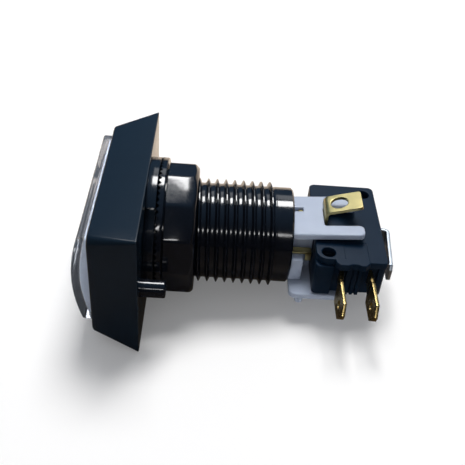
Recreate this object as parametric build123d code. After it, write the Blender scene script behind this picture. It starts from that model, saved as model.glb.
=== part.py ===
from build123d import *
import math
import os

# Illuminated rectangular arcade push button with a threaded barrel, a toothed ring nut,
# a plug-in lamp holder and a snap-action microswitch.
# Millimetres. The origin is the middle of the bezel's rear face, the face that seats on the
# panel. +Z runs along the button's axis towards the cap, X is the short side of the bezel
# and Y its long side.

# Bezel
bezel_length = 50.0
bezel_width = 33.0
bezel_depth = 10.1
bezel_draft_x = 2.6
bezel_draft_y = 3.7
bezel_corner_radius = 1.0
bezel_edge_radius = 0.5
bezel_rim = 1.1
bezel_floor = 1.6

# Threaded barrel
thread_depth = 1.0
thread_pitch = 2.07
thread_crests = 13
thread_crest_flat = 0.2
thread_ridge_width = 1.1
barrel_length = 33.2
barrel_plain_end = 5.4
barrel_wall = 1.4
barrel_end_chamfer = 0.4
collar_front_z = -13.0
collar_height = 3.0

# Locating peg on the bezel's rear face
peg_diameter = 3.9
peg_length = 5.6
peg_offset = 20.8
peg_chamfer = 0.4

# Lock ring and nut
lock_ring_thickness = 1.35
lock_ring_notch_width = 4.0
lock_ring_notch_depth = 1.7
lock_ring_notch_angle = -40.0
flange_reach = 4.3
flange_thickness = 1.55
flange_teeth = 72
tooth_depth = 0.6
tooth_band = 2.6
nut_corner_wall = 2.95
nut_sides = 12
nut_height = 9.8
nut_neck_height = 0.6
nut_neck_depth = 1.0
nut_chamfer = 1.1
nut_turn_angle = -3.0
thread_running_clearance = 0.1

# Cap, diffuser and plunger
cap_clearance = 0.4
cap_edge_height = 2.8
cap_crown = 2.0
cap_corner_radius = 1.2
cap_top_thickness = 1.65
cap_wall = 1.3
cap_edge_radius = 0.35
insert_clearance = 0.1
diffuser_wall = 1.2
plunger_plate_top = 6.6
plunger_plate_thickness = 1.6
plunger_rim_height = 1.8
plunger_rim_wall = 1.2
plunger_tube_diameter = 16.6
plunger_tube_wall = 1.4
plunger_tube_end_z = -24.0
plunger_guide_clearance = 0.05
plunger_hook_width = 5.0
plunger_hook_reach = 0.9
plunger_hook_height = 2.4
plunger_hook_land = 0.6
plunger_leg_width = 4.4
plunger_leg_inset = 0.3
plunger_leg_thickness = 1.9
button_travel = 3.0
slot_clearance = 0.3
cut_margin = 1.0

# Return spring
spring_wire = 0.8
spring_clearance = 0.35
spring_turns = 6.0

# Microswitch
switch_length = 28.2
switch_height = 15.9
switch_thickness = 10.3
switch_gap = 5.1
switch_centre_y = -0.1
switch_corner_radius = 1.3
switch_wall = 1.6
switch_cover_thickness = 1.75
switch_hole_diameter = 3.1
switch_hole_spacing_length = 22.2
switch_hole_spacing_height = 10.3
switch_boss_wall = 0.8
switch_plunger_offset = 9.0
switch_plunger_diameter = 3.4
switch_plunger_rise = 2.0
switch_plunger_travel = 1.2
switch_plunger_flange = 1.0
switch_plunger_flange_height = 1.1
switch_plunger_foot = 1.6
switch_plunger_edge_radius = 0.4
switch_foot_clearance = 0.1
cover_lip_length = 5.0
cover_lip_reach = 1.2
cover_lip_start = 4.2

# Switch terminals and contacts
blade_width = 4.75
blade_thickness = 0.8
blade_reach = 12.1
blade_tip_chamfer = 1.0
blade_hole_diameter = 1.7
blade_hole_inset = 4.0
closed_terminal_depth = 5.6
open_terminal_depth = 12.5
common_exit_y = 1.2
common_stand_off = 2.2
common_reach = 13.8
common_tail_tilt = 5.0
common_boss_clearance = 0.1
contact_diameter = 2.4
contact_height = 0.4
contact_gap = 1.4
contact_y = -7.6
moving_blade_thickness = 0.3
moving_blade_width = 4.0
blade_post_clearance = 0.05
blade_anchor_y = 11.0
blade_eye_diameter = 0.7
snap_spring_depth = 0.8
snap_spring_span = 7.0
snap_spring_thickness = 0.2
snap_spring_width = 1.6

# Lamp holder
holder_plug_clearance = 0.1
holder_plug_depth = 4.7
holder_socket_diameter = 11.4
holder_socket_length = 6.5
holder_plate_thickness = 1.5
holder_plate_gap = 0.05
holder_sleeve_near_y = -7.9
holder_sleeve_far_y = 6.5
holder_sleeve_tilt = 4.0
holder_sleeve_overlap = 2.3
holder_core_width = 10.0
holder_finger_width = 3.5
holder_finger_length = 8.9
holder_far_finger_width = 4.6
holder_far_finger_length = 7.9
holder_finger_radius = 1.2
holder_tray_length = 29.2
holder_tray_overlap = 6.5
holder_tray_radius = 1.6
holder_tray_notch = 0.4
holder_lug_width = 2.8
holder_lug_length = 2.8
holder_lug_top = 0.9
holder_lug_far_y = -7.2
holder_nub_diameter = 1.9
holder_nub_length = 1.7
holder_nub_inset = 1.3

# Lamp and its contacts
lamp_base_width = 9.2
lamp_base_thickness = 2.2
lamp_base_length = 6.0
lamp_collar_diameter = 9.6
lamp_collar_height = 5.0
lamp_dome_diameter = 8.0
lamp_dome_height = 6.0
lamp_lead_diameter = 0.5
lamp_lead_inset = 0.5
lamp_strip_thickness = 0.5
lamp_strip_width = 4.4
lamp_strip_turn = 1.4
lamp_window_width = 1.2
lamp_window_length = 1.6
lamp_tab_width = 6.2
lamp_tab_length = 8.8
lamp_tab_thickness = 0.8
lamp_tab_rise = 2.35
lamp_tab_tilt = 16.5
lamp_tab_hole = 4.0
lamp_tab_hole_place = 3.6
lamp_tab_corner = 0.6
lamp_tab_y = 0.7
lamp_link_thickness = 0.5
lamp_link_height = 2.4
lamp_link_length = 2.0
lamp_link_width = 1.9
lamp_link_turn = 1.4

# Sizes that follow from the ones above
tube_radius = plunger_tube_diameter / 2
tube_bore_radius = tube_radius - plunger_tube_wall
guide_radius = tube_radius + plunger_guide_clearance
bore_radius = tube_radius + spring_wire + 2 * spring_clearance
root_radius = bore_radius + barrel_wall
thread_diameter = 2 * (root_radius + thread_depth)
flange_diameter = thread_diameter + 2 * flange_reach
nut_across_corners = thread_diameter + 2 * nut_corner_wall
front_width = bezel_width - 2 * bezel_draft_x
front_length = bezel_length - 2 * bezel_draft_y
window_width = front_width - 2 * bezel_rim
window_length = front_length - 2 * bezel_rim
window_radius = cap_corner_radius + cap_clearance
cap_width = window_width - 2 * cap_clearance
cap_length = window_length - 2 * cap_clearance
cap_edge_z = bezel_depth + cap_edge_height
cap_crown_radius = ((cap_width / 2) ** 2 + cap_crown ** 2) / (2 * cap_crown)
insert_width = cap_width - 2 * cap_wall - 2 * insert_clearance
insert_length = cap_length - 2 * cap_wall - 2 * insert_clearance
plunger_plate_z = plunger_plate_top - plunger_plate_thickness
collar_rear_z = collar_front_z - collar_height
nut_front_z = -lock_ring_thickness
nut_body_z = nut_front_z - flange_thickness - nut_neck_height
nut_rear_z = nut_front_z - nut_height
nut_bore_radius = thread_diameter / 2 + thread_running_clearance

switch_front_z = -barrel_length - switch_gap
switch_rear_z = switch_front_z - switch_height
switch_middle_z = (switch_front_z + switch_rear_z) / 2
switch_end_y = switch_centre_y - switch_length / 2
switch_far_y = switch_centre_y + switch_length / 2
switch_plunger_y = switch_centre_y + switch_plunger_offset
switch_top_x = switch_thickness / 2
cover_bottom_x = switch_top_x - switch_cover_thickness
plunger_top_z = switch_front_z + switch_plunger_rise
leg_tip_z = plunger_top_z + button_travel - switch_plunger_travel
leg_outer_radius = bore_radius - plunger_leg_inset
leg_inner_radius = leg_outer_radius - plunger_leg_thickness
closed_z = switch_front_z - closed_terminal_depth
open_z = switch_front_z - open_terminal_depth
blade_z = closed_z - blade_thickness / 2 - 2 * contact_height - moving_blade_thickness / 2
open_contact_top_z = blade_z - moving_blade_thickness / 2 - contact_height - contact_gap
blade_arm = blade_anchor_y - contact_y + contact_diameter / 2
blade_swing = math.degrees(math.asin(contact_gap / blade_arm))

plug_radius = bore_radius - holder_plug_clearance
plug_front_z = -barrel_length + holder_plug_depth
socket_front_z = plug_front_z + holder_socket_length
plate_inner_x = switch_top_x + holder_plate_gap
plate_outer_x = plate_inner_x + holder_plate_thickness
sleeve_rear_z = switch_front_z - holder_sleeve_overlap
strip_inner_x = lamp_base_thickness / 2 + lamp_lead_diameter + insert_clearance
strip_outer_x = strip_inner_x + lamp_strip_thickness
strip_top_x = (plate_inner_x + plate_outer_x + lamp_strip_thickness) / 2
strip_turn_z = -barrel_length - lamp_strip_turn
sleeve_slope = math.tan(math.radians(holder_sleeve_tilt))
sleeve_rise = holder_plate_thickness / math.cos(math.radians(holder_sleeve_tilt))
tray_rear_z = switch_front_z - holder_tray_overlap


def block(low_x, high_x, low_y, high_y, low_z, high_z):
    """A box given by its lowest and highest coordinates."""
    size = Box(high_x - low_x, high_y - low_y, high_z - low_z)
    return Pos((low_x + high_x) / 2, (low_y + high_y) / 2, (low_z + high_z) / 2) * size


def rod(radius, low_z, high_z, x=0.0, y=0.0):
    """A cylinder along Z between two heights."""
    return Pos(x, y, (low_z + high_z) / 2) * Cylinder(radius, high_z - low_z)


def cross_rod(radius, low_x, high_x, y, z):
    """A cylinder along X between two places."""
    return Pos((low_x + high_x) / 2, y, z) * Rot(0, 90, 0) * Cylinder(radius, high_x - low_x)


def rounded_block(width, length, radius, low_z, high_z):
    """An upright block with rounded corners, centred on the axis."""
    return Pos(0, 0, low_z) * extrude(RectangleRounded(width, length, radius), high_z - low_z)


def thread_profile():
    """Half section of the barrel wall: plain bore inside, V ridges outside."""
    crest = thread_diameter / 2
    foot = thread_ridge_width / 2
    flat = thread_crest_flat / 2
    points = [(bore_radius, bezel_floor), (root_radius, bezel_floor)]
    last_crest_z = -barrel_length + barrel_plain_end
    for turn in reversed(range(thread_crests)):
        z = last_crest_z + turn * thread_pitch
        points += [(root_radius, z + foot), (crest, z + flat),
                   (crest, z - flat), (root_radius, z - foot)]
    points += [(root_radius, -barrel_length + barrel_end_chamfer),
               (root_radius - barrel_end_chamfer, -barrel_length), (bore_radius, -barrel_length)]
    return make_face(Plane.XZ * Polyline(*points, close=True))


def housing():
    """Bezel frame, threaded barrel, guide collar and locating peg in one moulding."""
    rear = RectangleRounded(bezel_width, bezel_length, bezel_corner_radius)
    front = RectangleRounded(front_width, front_length, bezel_corner_radius)
    frame = loft([rear.face(), (Pos(0, 0, bezel_depth) * front).face()])
    frame = fillet(frame.edges().group_by(Axis.Z)[-1], bezel_edge_radius)
    frame -= rounded_block(window_width, window_length, window_radius,
                           bezel_floor, bezel_depth + cut_margin)
    frame -= rod(bore_radius, -cut_margin, bezel_floor + cut_margin)
    barrel = revolve(thread_profile(), Axis.Z)
    collar = rod(bore_radius + barrel_wall / 2, collar_rear_z, collar_front_z)
    collar -= rod(guide_radius, collar_rear_z, collar_front_z)
    slot_half = plunger_leg_width / 2 + slot_clearance
    collar -= block(-slot_half, slot_half, 0, bore_radius, collar_rear_z, collar_front_z)
    peg = rod(peg_diameter / 2, -peg_length, bezel_floor / 2, 0, -peg_offset)
    peg = chamfer(peg.edges().group_by(Axis.Z)[0], peg_chamfer)
    return frame + barrel + collar + peg


def lock_ring():
    """Flat ring between the panel and the nut, with one notch in its rim."""
    outer = flange_diameter / 2
    ring = rod(outer, -lock_ring_thickness, 0)
    ring -= rod(thread_diameter / 2 + slot_clearance, -lock_ring_thickness, 0)
    half = lock_ring_notch_width / 2
    notch = block(outer - lock_ring_notch_depth, outer + cut_margin, -half, half,
                  -lock_ring_thickness, 0)
    return ring - Rot(0, 0, lock_ring_notch_angle) * notch


def mounting_nut():
    """Twelve-sided ring nut with a round flange whose front face is cut into V teeth."""
    outer = flange_diameter / 2
    across = nut_across_corners / 2
    flange_rear_z = nut_front_z - flange_thickness
    flange = rod(outer, flange_rear_z, nut_front_z)
    half_tooth = math.pi * outer / flange_teeth
    tooth = Polyline((-half_tooth, nut_front_z), (half_tooth, nut_front_z),
                     (0, nut_front_z - tooth_depth), close=True)
    groove = extrude(Plane.YZ.offset(outer - tooth_band) * make_face(tooth), tooth_band + cut_margin)
    teeth = [Rot(0, 0, 360 * index / flange_teeth) * groove for index in range(flange_teeth)]
    flange = flange - teeth
    neck = rod(across - nut_neck_depth, nut_body_z, flange_rear_z)
    outline = RegularPolygon(across, nut_sides, rotation=nut_turn_angle)
    body = Pos(0, 0, nut_rear_z) * extrude(outline, nut_body_z - nut_rear_z)
    limit = Polyline((0, nut_rear_z), (across - nut_chamfer, nut_rear_z),
                     (across, nut_rear_z + nut_chamfer), (across, nut_body_z), (0, nut_body_z),
                     close=True)
    body &= revolve(make_face(Plane.XZ * limit), Axis.Z)
    return flange + neck + body - rod(nut_bore_radius, nut_rear_z, nut_front_z)


def crowned_block(width, length, radius, low_z, crown_top_z, crown_radius):
    """An upright block whose top is part of a cylinder along Y."""
    body = rounded_block(width, length, radius, low_z, crown_top_z)
    crown = Rot(90, 0, 0) * Cylinder(crown_radius, length + 2 * cut_margin)
    return body & Pos(0, 0, crown_top_z - crown_radius) * crown


def lens_cap():
    """Clear cap: crowned top and a skirt that closes round the diffuser."""
    top_z = cap_edge_z + cap_crown
    cap = crowned_block(cap_width, cap_length, cap_corner_radius,
                        plunger_plate_top, top_z, cap_crown_radius)
    crown = cap.faces().sort_by(Axis.Z)[-1]
    cap = fillet(crown.edges(), cap_edge_radius)
    hollow = crowned_block(cap_width - 2 * cap_wall, cap_length - 2 * cap_wall,
                           cap_corner_radius / 2, plunger_plate_top, top_z - cap_top_thickness,
                           cap_crown_radius - cap_top_thickness)
    return cap - hollow


def diffuser():
    """White insert under the lens: a crowned plate with a short skirt."""
    top_z = cap_edge_z + cap_crown - cap_top_thickness - insert_clearance
    low_z = plunger_plate_top + plunger_rim_height
    radius = cap_crown_radius - cap_top_thickness - insert_clearance
    corner = cap_corner_radius / 2
    shell = crowned_block(insert_width, insert_length, corner, low_z, top_z, radius)
    hollow = crowned_block(insert_width - 2 * diffuser_wall, insert_length - 2 * diffuser_wall,
                           corner / 2, low_z, top_z - diffuser_wall, radius - diffuser_wall)
    return shell - hollow


def plunger():
    """Carrier of the cap: a plate with a raised rim, a guide tube, two stop hooks and the switch leg."""
    plate = rounded_block(cap_width, cap_length, cap_corner_radius,
                          plunger_plate_z, plunger_plate_top)
    rim_top_z = plunger_plate_top + plunger_rim_height
    corner = cap_corner_radius / 2
    rim = rounded_block(insert_width, insert_length, corner, plunger_plate_top, rim_top_z)
    rim -= rounded_block(insert_width - 2 * plunger_rim_wall, insert_length - 2 * plunger_rim_wall,
                         corner / 2, plunger_plate_top, rim_top_z)
    tube = rod(tube_radius, plunger_tube_end_z, plunger_plate_z)
    hook_radius = tube_radius + plunger_hook_reach
    hook_end_z = collar_rear_z - plunger_hook_height
    profile = Polyline((tube_bore_radius, hook_end_z), (tube_radius, hook_end_z),
                       (hook_radius, collar_rear_z - plunger_hook_land), (hook_radius, collar_rear_z),
                       (tube_bore_radius, collar_rear_z), close=True)
    hook = revolve(make_face(Plane.XZ * profile), Axis.Z)
    half = plunger_hook_width / 2
    hook &= block(-bore_radius, bore_radius, -half, half, hook_end_z, collar_rear_z)
    leg_top_z = collar_rear_z - plunger_hook_land
    leg = rod(leg_outer_radius, leg_tip_z, leg_top_z) - rod(leg_inner_radius, leg_tip_z, leg_top_z)
    half = plunger_leg_width / 2
    leg &= block(-half, half, 0, bore_radius, leg_tip_z, leg_top_z)
    return plate + rim + tube + hook + leg - rod(tube_bore_radius, leg_tip_z, plunger_plate_top)


def return_spring():
    """Coil spring round the plunger tube, between the guide collar and the plunger plate."""
    radius = (bore_radius + tube_radius) / 2
    half_wire = spring_wire / 2
    height = plunger_plate_z - collar_front_z - spring_wire
    coil = Helix(height / spring_turns, height, radius)
    section = Plane(origin=coil @ 0, z_dir=coil % 0) * Circle(half_wire)
    wire = sweep(section, path=coil, is_frenet=True)
    return Pos(0, 0, collar_front_z + half_wire) * wire


def switch_holes(low_x, high_x, extra=0.0):
    """The two mounting holes of the switch, on a diagonal, or the bosses round them."""
    radius = switch_hole_diameter / 2 + extra
    half_length = switch_hole_spacing_length / 2
    half_height = switch_hole_spacing_height / 2
    near = cross_rod(radius, low_x, high_x, switch_centre_y - half_length, switch_middle_z + half_height)
    far = cross_rod(radius, low_x, high_x, switch_centre_y + half_length, switch_middle_z - half_height)
    return near + far


def switch_block(low_x, high_x, inset, radius):
    """The outline of the switch, drawn in by a wall and given a thickness along X."""
    outline = RectangleRounded(switch_length - 2 * inset, switch_height - 2 * inset, radius)
    base = Plane(origin=(low_x, switch_centre_y, switch_middle_z), x_dir=(0, 1, 0), z_dir=(1, 0, 0))
    return extrude(base * outline, high_x - low_x)


def blade_slots():
    """Slots that the three terminals pass through."""
    half = blade_width / 2
    reach = blade_thickness / 2
    low_y = switch_end_y - cut_margin
    high_y = switch_end_y + switch_wall + cut_margin
    slots = block(-half, half, low_y, high_y, closed_z - reach, closed_z + reach)
    slots += block(-half, half, low_y, high_y, open_z - reach, open_z + reach)
    slots += block(-half, half, common_exit_y - reach, common_exit_y + reach,
                   switch_rear_z - cut_margin, switch_rear_z + switch_wall + cut_margin)
    return slots


def switch_case():
    """Open box of the microswitch, with bosses round its mounting holes."""
    case = switch_block(-switch_top_x, cover_bottom_x, 0, switch_corner_radius)
    room = switch_block(-switch_top_x + switch_wall, cover_bottom_x, switch_wall, switch_corner_radius / 2)
    bosses = switch_holes(-switch_top_x, cover_bottom_x, switch_boss_wall) & case
    case = case - room + bosses
    case -= switch_holes(-switch_top_x, cover_bottom_x)
    case -= rod(switch_plunger_diameter / 2 + plunger_guide_clearance,
                switch_front_z - switch_wall - cut_margin, switch_front_z + cut_margin,
                0, switch_plunger_y)
    return case - blade_slots()


def switch_cover():
    """Flat cover of the microswitch, with the small lip over the first terminal."""
    cover = switch_block(cover_bottom_x, switch_top_x, 0, switch_corner_radius)
    lip_front_z = switch_front_z - cover_lip_start
    cover += block(cover_bottom_x, switch_top_x, switch_end_y - cover_lip_reach, switch_end_y + switch_wall,
                   lip_front_z - cover_lip_length, lip_front_z)
    return cover - switch_holes(cover_bottom_x, switch_top_x)


def switch_plunger():
    """Pin of the microswitch, held in by its flange."""
    radius = switch_plunger_diameter / 2
    flange_top_z = switch_front_z - switch_wall
    flange_low_z = flange_top_z - switch_plunger_flange_height
    stem = rod(radius, flange_top_z, plunger_top_z, 0, switch_plunger_y)
    stem = fillet(stem.edges().group_by(Axis.Z)[-1], switch_plunger_edge_radius)
    flange = rod(radius + switch_plunger_flange, flange_low_z, flange_top_z, 0, switch_plunger_y)
    drop = (blade_anchor_y - switch_plunger_y) * math.sin(math.radians(blade_swing))
    pressed_z = blade_z + moving_blade_thickness / 2 - drop + switch_foot_clearance
    foot_end_z = pressed_z + switch_plunger_travel
    foot = rod(switch_plunger_foot / 2, foot_end_z, flange_low_z, 0, switch_plunger_y)
    return stem + flange + foot


def side_blade(z, inner_y):
    """Push-on blade that leaves the near end of the switch and reaches in to a contact."""
    low_y = switch_end_y - blade_reach
    half = blade_width / 2
    cut = blade_tip_chamfer
    outline = Polyline((-half, inner_y), (-half, low_y + cut), (-half + cut, low_y),
                       (half - cut, low_y), (half, low_y + cut), (half, inner_y), close=True)
    blade = Pos(0, 0, z - blade_thickness / 2) * extrude(make_face(outline), blade_thickness)
    hole = rod(blade_hole_diameter / 2, z - blade_thickness, z + blade_thickness,
               0, low_y + blade_hole_inset)
    return blade - hole


def closed_terminal():
    """Terminal that the moving contact rests on."""
    return side_blade(closed_z, contact_y + contact_diameter / 2)


def open_terminal():
    """Terminal that the moving contact is thrown onto, stepped up inside the case."""
    step_y = contact_y - contact_diameter
    shelf_top_z = open_contact_top_z - contact_height
    blade = side_blade(open_z, step_y)
    half = blade_width / 2
    riser = block(-half, half, step_y - blade_thickness, step_y,
                  open_z - blade_thickness / 2, shelf_top_z)
    shelf = block(-half, half, step_y, contact_y + contact_diameter / 2,
                  shelf_top_z - blade_thickness, shelf_top_z)
    return blade + riser + shelf


def common_terminal():
    """Terminal that leaves the rear face, turns towards the near end and carries the moving blade."""
    half = blade_width / 2
    reach = blade_thickness / 2
    outer_z = switch_rear_z - common_stand_off - blade_thickness
    far_hole_z = switch_middle_z - switch_hole_spacing_height / 2
    boss_radius = switch_hole_diameter / 2 + switch_boss_wall
    inner_z = far_hole_z + boss_radius + common_boss_clearance + blade_thickness
    riser = block(-half, half, common_exit_y - reach, common_exit_y + reach,
                  outer_z + reach, inner_z)
    cut = blade_tip_chamfer
    tip_y = -common_reach
    outline = Polyline((-half, 0), (-half, tip_y + cut), (-half + cut, tip_y),
                       (half - cut, tip_y), (half, tip_y + cut), (half, 0), close=True)
    tail = extrude(make_face(outline), blade_thickness)
    tail -= rod(blade_hole_diameter / 2, 0, blade_thickness, 0, tip_y + blade_hole_inset)
    tail = Pos(0, common_exit_y + reach, outer_z) * Rot(-common_tail_tilt, 0, 0) * tail
    post_top_z = blade_z - blade_eye_diameter / 2 - blade_post_clearance
    half = moving_blade_width / 2
    shelf = block(-half, half, common_exit_y - reach, blade_anchor_y + reach,
                  inner_z - blade_thickness, inner_z)
    post = block(-half, half, blade_anchor_y - reach, blade_anchor_y + reach,
                 inner_z - blade_thickness, post_top_z)
    return riser + tail + shelf + post


def moving_blade():
    """Thin blade from its rolled eye over the common terminal's post to the moving contact."""
    half = moving_blade_width / 2
    reach = moving_blade_thickness / 2
    low_y = contact_y - contact_diameter / 2
    blade = block(-half, half, low_y, blade_anchor_y, blade_z - reach, blade_z + reach)
    blade += cross_rod(blade_eye_diameter / 2, -half, half, blade_anchor_y, blade_z)
    window = block(-half / 2, half / 2, contact_y + contact_diameter,
                   blade_anchor_y - 2 * blade_thickness, blade_z - reach, blade_z + reach)
    return blade - window


def snap_spring():
    """Bowed leaf under the moving blade that makes it snap over."""
    middle_y = (switch_plunger_y + contact_y) / 2
    top_z = blade_z - moving_blade_thickness / 2
    half = snap_spring_span / 2
    bow = ThreePointArc((middle_y - half, top_z - snap_spring_thickness / 2),
                        (middle_y, top_z - snap_spring_depth),
                        (middle_y + half, top_z - snap_spring_thickness / 2))
    outline = trace(bow, snap_spring_thickness)
    low_x = moving_blade_width / 2 - snap_spring_width
    face = Plane(origin=(low_x, 0, 0), x_dir=(0, 1, 0), z_dir=(1, 0, 0)) * outline
    leaf = extrude(face, snap_spring_width)
    return leaf & block(-blade_width, blade_width, switch_end_y, switch_far_y, switch_rear_z, top_z)


def contact_rivets():
    """The contact buttons: moving pair, fixed closed one and fixed open one."""
    radius = contact_diameter / 2
    reach = moving_blade_thickness / 2
    closed_top_z = closed_z - blade_thickness / 2
    moving = rod(radius, blade_z + reach, blade_z + reach + contact_height, 0, contact_y)
    below = rod(radius, blade_z - reach - contact_height, blade_z - reach, 0, contact_y)
    closed = rod(radius, closed_top_z - contact_height, closed_top_z, 0, contact_y)
    opened = rod(radius, open_contact_top_z - contact_height, open_contact_top_z, 0, contact_y)
    return {"moving_contact_upper": moving, "moving_contact_lower": below,
            "closed_contact": closed, "open_contact": opened}


def finger(low_y, high_y, rear_z):
    """Flat finger of the lamp holder that reaches over the switch."""
    arm = block(plate_inner_x, plate_outer_x, low_y, high_y, rear_z, sleeve_rear_z)
    corners = arm.edges().filter_by(Axis.X).group_by(Axis.Z)[0]
    return fillet(corners, holder_finger_radius)


def lamp_holder():
    """White plug with the lamp socket, and the fork and tray that hold the switch."""
    plug = rod(plug_radius, -barrel_length, plug_front_z)
    socket = rod(holder_socket_diameter / 2, plug_front_z, socket_front_z)
    near_y, far_y = holder_sleeve_near_y, holder_sleeve_far_y
    sleeve = block(plate_inner_x, plate_outer_x, near_y, far_y,
                   sleeve_rear_z, -barrel_length + cut_margin)
    sleeve += finger(near_y, near_y + holder_finger_width, sleeve_rear_z - holder_finger_length)
    sleeve += finger(far_y - holder_far_finger_width, far_y,
                     sleeve_rear_z - holder_far_finger_length)
    turn = Pos(plate_inner_x, 0, -barrel_length) * Rot(0, -holder_sleeve_tilt, 0)
    sleeve = turn * Pos(-plate_inner_x, 0, barrel_length) * sleeve
    sleeve -= block(0, bezel_width, -bezel_width, bezel_width, -barrel_length, plug_front_z)
    core_half = holder_core_width / 2
    core = block(-plate_inner_x, plate_inner_x, -core_half, core_half, switch_front_z, -barrel_length)
    tray_half = holder_tray_length / 2
    tray = block(-plate_outer_x, -plate_inner_x, -tray_half, tray_half, tray_rear_z, -barrel_length)
    tray = fillet(tray.edges().filter_by(Axis.X), holder_tray_radius)
    notch_half = lamp_tab_width / 2 + holder_tray_notch
    tray -= block(-plate_outer_x, -plate_inner_x, -lamp_tab_y - notch_half, -lamp_tab_y + notch_half,
                  tray_rear_z, sleeve_rear_z)
    lug = block(-plate_inner_x, holder_lug_top, holder_lug_far_y - holder_lug_width, holder_lug_far_y,
                -barrel_length - holder_lug_length, -barrel_length)
    nub_y = -tray_half + holder_nub_inset
    nub_z = -barrel_length - holder_tray_radius - holder_nub_diameter / 2
    nub = cross_rod(holder_nub_diameter / 2, -plate_outer_x - holder_nub_length, -plate_outer_x,
                    nub_y, nub_z)
    body = plug + socket + sleeve + core + tray + lug + nub
    leg_half = plunger_leg_width / 2 + slot_clearance
    slot_y = math.sqrt(leg_inner_radius ** 2 - (plunger_leg_width / 2) ** 2) - slot_clearance
    slot = block(-leg_half, leg_half, slot_y, bore_radius, -barrel_length, plug_front_z)
    recess_half = lamp_base_width / 2 + insert_clearance
    recess = block(-strip_outer_x, strip_outer_x, -recess_half, recess_half,
                   socket_front_z - lamp_base_length, socket_front_z)
    window_high_y = lamp_tab_y + lamp_strip_width / 2
    window = block(strip_top_x - lamp_strip_thickness, plate_outer_x + cut_margin,
                   window_high_y - lamp_window_width, window_high_y,
                   strip_turn_z - lamp_window_length, strip_turn_z)
    return body - slot - recess - window - contact_strip() - Rot(0, 0, 180) * contact_strip()


def contact_strip():
    """Strip of a lamp contact: along the socket, out through the core and back under the sleeve."""
    thickness = lamp_strip_thickness
    low_y = lamp_tab_y - lamp_strip_width / 2
    high_y = lamp_tab_y + lamp_strip_width / 2
    inner = block(strip_inner_x, strip_outer_x, low_y, high_y, strip_turn_z, socket_front_z)
    riser = block(strip_inner_x, strip_top_x, low_y, high_y, strip_turn_z - thickness, strip_turn_z)
    outer = block(strip_top_x - thickness, strip_top_x, low_y, high_y, sleeve_rear_z, strip_turn_z)
    return inner + riser + outer


def lamp_terminal(side):
    """Brass strip from the lamp socket that ends behind the sleeve in a tilted tab with a hole."""
    half = lamp_tab_width / 2
    fold_rear_z = sleeve_rear_z - lamp_tab_thickness
    fold_top_x = plate_outer_x + lamp_tab_rise
    far_finger_y = holder_sleeve_far_y - holder_far_finger_width
    sleeve_top_x = plate_inner_x + sleeve_rise - (fold_rear_z + barrel_length) * sleeve_slope
    neck = block(strip_top_x - lamp_strip_thickness, sleeve_top_x,
                 lamp_tab_y - lamp_strip_width / 2, far_finger_y, fold_rear_z, sleeve_rear_z)
    fold = block(sleeve_top_x, fold_top_x, lamp_tab_y - half, lamp_tab_y + half,
                 fold_rear_z, sleeve_rear_z)
    outline = Rectangle(lamp_tab_length, lamp_tab_width, align=(Align.MIN, Align.CENTER))
    outline = fillet(outline.vertices().group_by(Axis.X)[-1], lamp_tab_corner)
    outline -= Pos(lamp_tab_hole_place, 0) * Circle(lamp_tab_hole / 2)
    tab = Rot(0, 90 - lamp_tab_tilt, 0) * extrude(outline, lamp_tab_thickness)
    tab = Pos(fold_top_x - lamp_tab_thickness, lamp_tab_y, sleeve_rear_z) * tab
    return Rot(0, 0, 0 if side > 0 else 180) * (contact_strip() + neck + fold + tab)


def lamp_link():
    """Small brass link that lies on the lug beside the core, with a downturned end."""
    low_y = holder_lug_far_y - lamp_link_thickness
    top_x = holder_lug_top + lamp_link_thickness
    lug_rear_z = -barrel_length - holder_lug_length
    rear_z = lug_rear_z - lamp_link_length
    flat = block(holder_lug_top, top_x, low_y, low_y + lamp_link_width, rear_z, -barrel_length)
    turned = block(top_x - lamp_link_height, top_x, low_y, holder_lug_far_y,
                   rear_z, rear_z + lamp_link_turn)
    return flat + turned


def lamp():
    """Wedge-base lamp: a flat base with a collar, a clear dome, and two leads folded on the wedge."""
    base_rear_z = socket_front_z - lamp_base_length
    base = block(-lamp_base_thickness / 2, lamp_base_thickness / 2,
                 -lamp_base_width / 2, lamp_base_width / 2, base_rear_z, socket_front_z)
    collar_top_z = socket_front_z + lamp_collar_height
    base += rod(lamp_collar_diameter / 2, socket_front_z, collar_top_z)
    dome_radius = lamp_dome_diameter / 2
    straight_top_z = collar_top_z + lamp_dome_height - dome_radius
    dome = rod(dome_radius, collar_top_z, straight_top_z) + Pos(0, 0, straight_top_z) * Sphere(dome_radius)
    dome &= block(-dome_radius, dome_radius, -dome_radius, dome_radius,
                  collar_top_z, straight_top_z + dome_radius)
    lead_x = lamp_base_thickness / 2 + lamp_lead_diameter / 2
    lead = rod(lamp_lead_diameter / 2, base_rear_z + lamp_lead_inset, socket_front_z,
               lead_x, lamp_tab_y)
    return {"lamp_base": base, "lamp_dome": dome,
            "lamp_lead_upper": lead, "lamp_lead_lower": Rot(0, 0, 180) * lead}


os.makedirs("parts", exist_ok=True)
parts = {
    "housing": housing(),
    "lock_ring": lock_ring(),
    "mounting_nut": mounting_nut(),
    "lens_cap": lens_cap(),
    "diffuser": diffuser(),
    "plunger": plunger(),
    "return_spring": return_spring(),
    "lamp_holder": lamp_holder(),
    "lamp_terminal_upper": lamp_terminal(1),
    "lamp_terminal_lower": lamp_terminal(-1),
    "lamp_link": lamp_link(),
    "switch_case": switch_case(),
    "switch_cover": switch_cover(),
    "switch_plunger": switch_plunger(),
    "closed_terminal": closed_terminal(),
    "open_terminal": open_terminal(),
    "common_terminal": common_terminal(),
    "moving_blade": moving_blade(),
    "snap_spring": snap_spring(),
}
parts.update(lamp())
parts.update(contact_rivets())
for node, solid in parts.items():
    export_step(solid, f"parts/{node}.step")
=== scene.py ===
from math import cos, pi, radians, sin

import bmesh
import bpy
import numpy as np
from mathutils import Matrix, Vector
from mathutils.geometry import tessellate_polygon


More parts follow.
